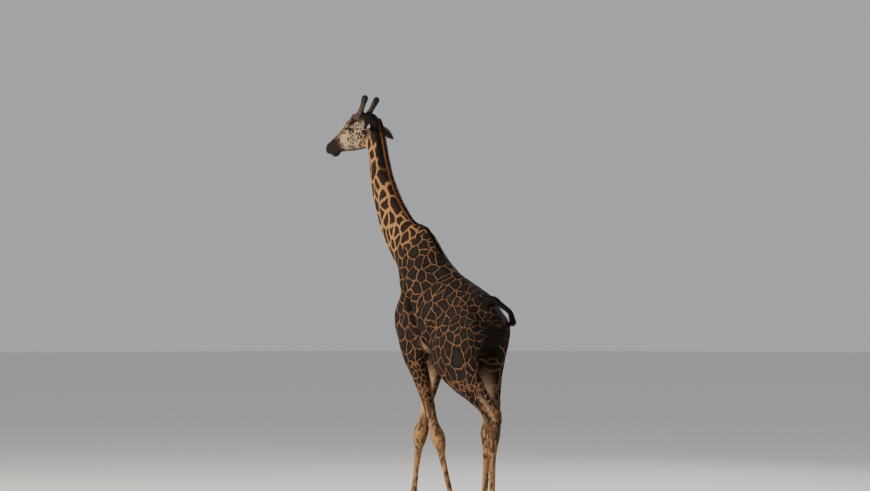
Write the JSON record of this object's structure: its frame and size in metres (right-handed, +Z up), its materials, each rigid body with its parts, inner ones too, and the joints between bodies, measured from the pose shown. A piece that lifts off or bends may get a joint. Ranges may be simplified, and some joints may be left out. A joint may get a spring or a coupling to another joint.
{
  "type": "giraffe model",
  "caption": "Still, life-size museum-style model of a walking giraffe bull, head turned slightly to its left, dark patched coat, upright mane and tail swung to its right.",
  "frame": {"origin": "on the floor, under the middle of the model's box", "axes": "+Z up, the animal faces -Y, its left side is towards +X"},
  "size_m": [0.9376, 3.6862, 5.0048],
  "materials": {
    "hide": "short matt coat, dark brown patches parted by rust to cream lines",
    "eye": "wet dark eye",
    "hoof": "dusty dark horn",
    "horn": "haired horn, dark at the tip",
    "mane": "stiff short reddish hair",
    "tail_hair": "long black hair"
  },
  "bodies": {
    "root": {"head": "hide", "neck": "hide", "trunk": "hide", "foreleg_left": "hide", "foreleg_right": "hide", "hindleg_left": "hide", "hindleg_right": "hide", "tail": "hide", "ear_left": "hide", "ear_right": "hide", "eye_left": "eye", "eye_right": "eye", "horn_left": "horn", "horn_right": "horn", "forehoof_left_inner": "hoof", "forehoof_left_outer": "hoof", "forehoof_right_inner": "hoof", "forehoof_right_outer": "hoof", "hindhoof_left_inner": "hoof", "hindhoof_left_outer": "hoof", "hindhoof_right_inner": "hoof", "hindhoof_right_outer": "hoof", "mane": "mane", "tail_tuft": "tail_hair"}
  },
  "joints": []
}
